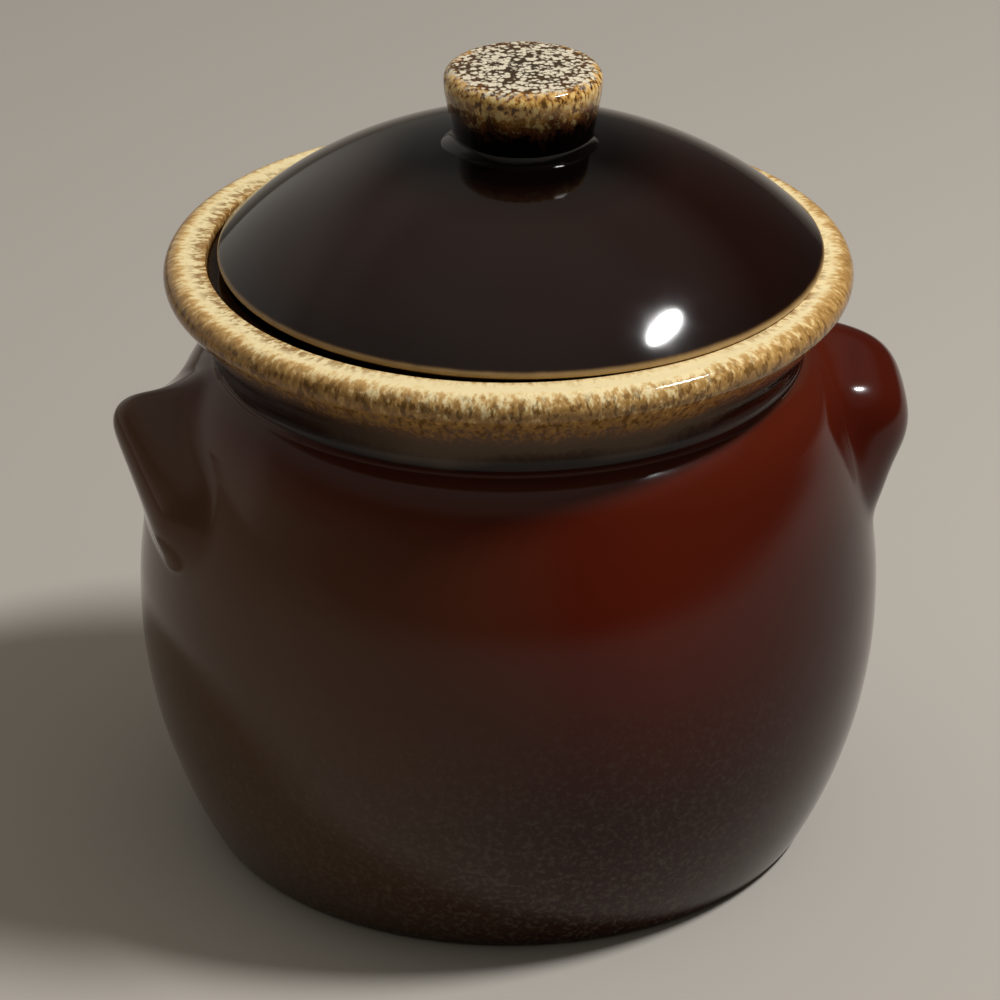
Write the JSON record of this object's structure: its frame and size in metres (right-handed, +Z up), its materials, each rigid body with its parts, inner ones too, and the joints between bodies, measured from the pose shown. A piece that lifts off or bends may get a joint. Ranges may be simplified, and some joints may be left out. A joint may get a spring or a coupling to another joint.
{
  "type": "bean pot",
  "caption": "Round-bellied glazed stoneware bean pot with lug handles, a flared rolled rim and a loose domed lid with a drum knob.",
  "frame": {"origin": "centre of the foot ring, on the surface that the pot stands on", "axes": "+Z up through the neck, +X through the right-hand lug, -Y towards the front of the picture"},
  "size_m": [0.181, 0.17, 0.1832],
  "materials": {
    "pot_glaze": "glossy red-brown glaze, breaking to tan and cream at the rim",
    "lid_glaze": "glossy near-black brown glaze, breaking to tan at the edge",
    "knob_glaze": "glossy glaze, speckled cream over brown"
  },
  "bodies": {
    "pot": {"pot_body": "pot_glaze", "lug_handle_left": "pot_glaze", "lug_handle_right": "pot_glaze"},
    "lid": {"lid_shell": "lid_glaze", "lid_knob": "knob_glaze"}
  },
  "joints": [
    {"name": "lid_lift", "type": "slide", "parent": "pot", "child": "lid", "axis": [0, 0, 1], "range_m": [0, 0.15]}
  ]
}
